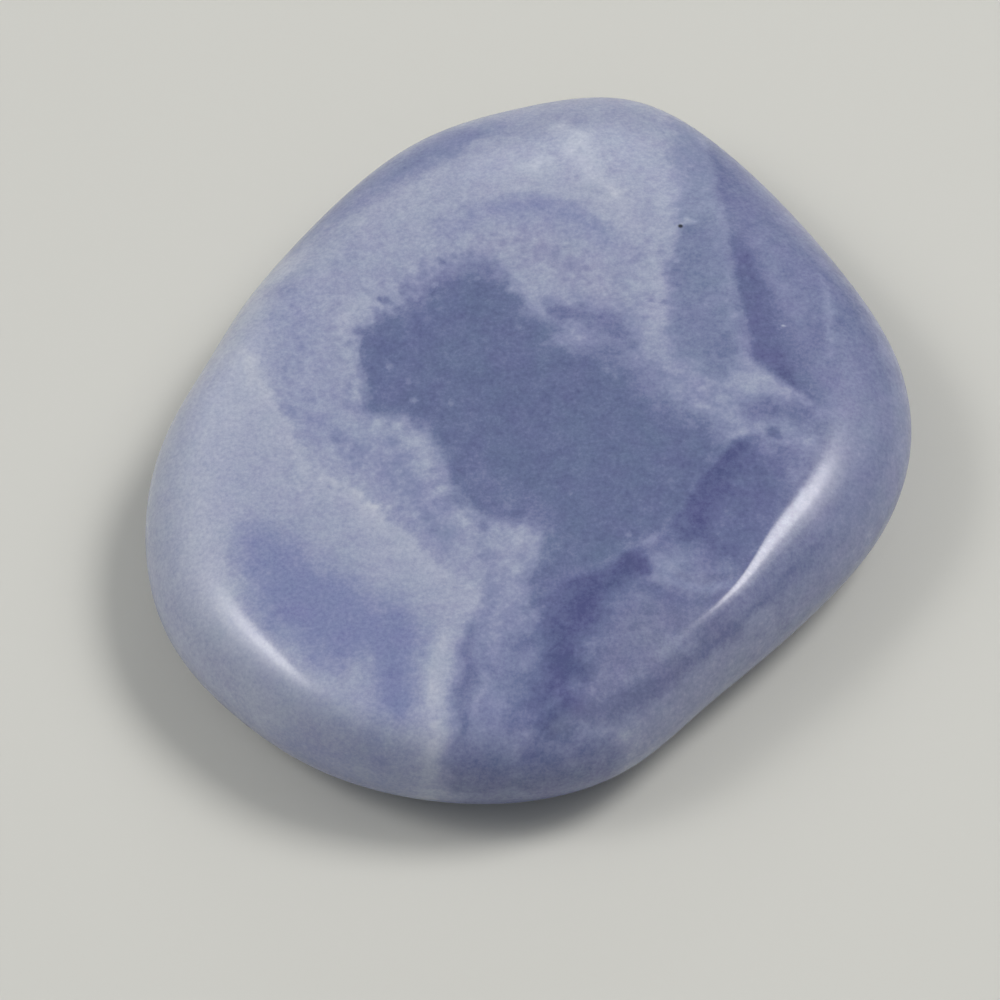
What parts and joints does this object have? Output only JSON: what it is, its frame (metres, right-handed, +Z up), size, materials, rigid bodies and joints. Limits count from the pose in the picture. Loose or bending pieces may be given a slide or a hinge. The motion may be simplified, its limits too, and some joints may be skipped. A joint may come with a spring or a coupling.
{
  "type": "blue chalcedony slab",
  "caption": "Palm-sized polished slab of pale blue chalcedony with rounded edges, a faintly domed upper face and a flat base to rest on.",
  "frame": {"origin": "on the base, under the middle of the outline's box", "axes": "+Z up through the thickness, +Y towards the end with the wide, gentle shoulder, +X to its right seen from above"},
  "size_m": [0.0414, 0.0448, 0.0085],
  "materials": {
    "chalcedony": "polished, waxy and slightly translucent, clouded slate blue, lavender and milky white"
  },
  "bodies": {
    "root": {"chalcedony_slab": "chalcedony"}
  },
  "joints": []
}
